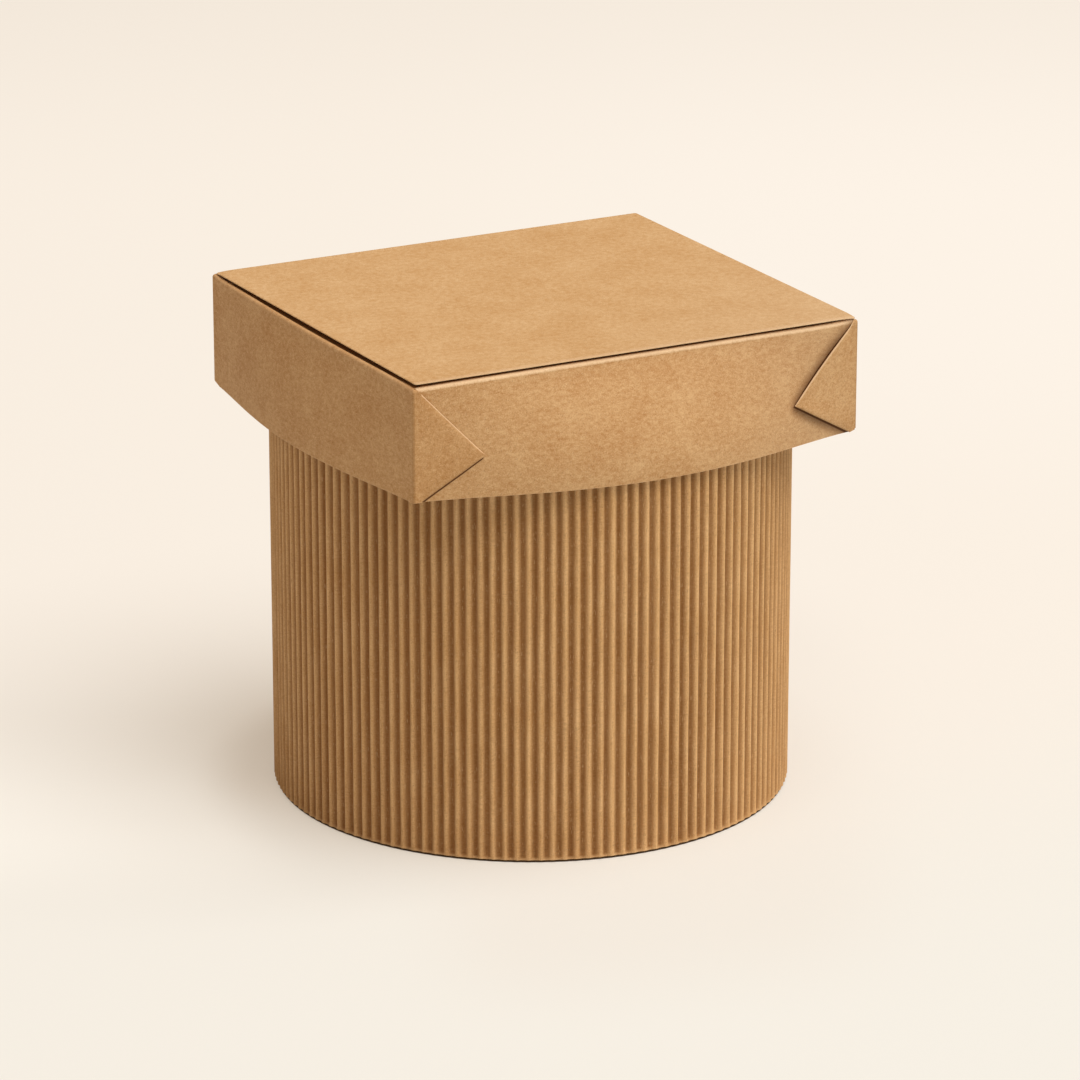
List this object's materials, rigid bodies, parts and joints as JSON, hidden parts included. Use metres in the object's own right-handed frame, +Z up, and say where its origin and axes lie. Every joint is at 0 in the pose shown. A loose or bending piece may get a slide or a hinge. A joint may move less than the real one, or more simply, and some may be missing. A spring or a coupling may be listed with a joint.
{
  "type": "round box",
  "caption": "Round drum of fluted kraft board with a square-cornered folded card lid that is gripped by the drum's rim and lifts straight off.",
  "frame": {"origin": "on the floor, at the centre of the drum's base", "axes": "+Z up along the drum's axis, the lid's front wall faces -Y and its longer sides run along X"},
  "size_m": [0.1526, 0.1538, 0.1439],
  "materials": {
    "fluted_kraft": "matt fluted kraft paper",
    "liner_kraft": "matt kraft liner",
    "tube_board": "matt wound board",
    "lining_kraft": "smooth kraft paper",
    "base_kraft": "matt kraft paper",
    "greyboard": "matt grey board",
    "wall_card": "matt kraft card, creased and folded",
    "panel_card": "matt kraft card",
    "lid_lining_card": "matt kraft card"
  },
  "bodies": {
    "drum": {"fluted_wrap": "fluted_kraft", "wrap_backing": "liner_kraft", "drum_tube": "tube_board", "drum_lining": "lining_kraft", "base_cover": "base_kraft", "base_board": "greyboard", "base_lining": "lining_kraft"},
    "lid": {"lid_front_wall": "wall_card", "lid_rear_wall": "wall_card", "lid_left_wall": "wall_card", "lid_right_wall": "wall_card", "lid_stiffener": "greyboard", "lid_top_panel": "panel_card", "lid_lining": "lid_lining_card"}
  },
  "joints": [
    {"name": "lid_lift", "type": "slide", "parent": "drum", "child": "lid", "axis": [0, 0, 1], "range_m": [0, 0.06]}
  ]
}
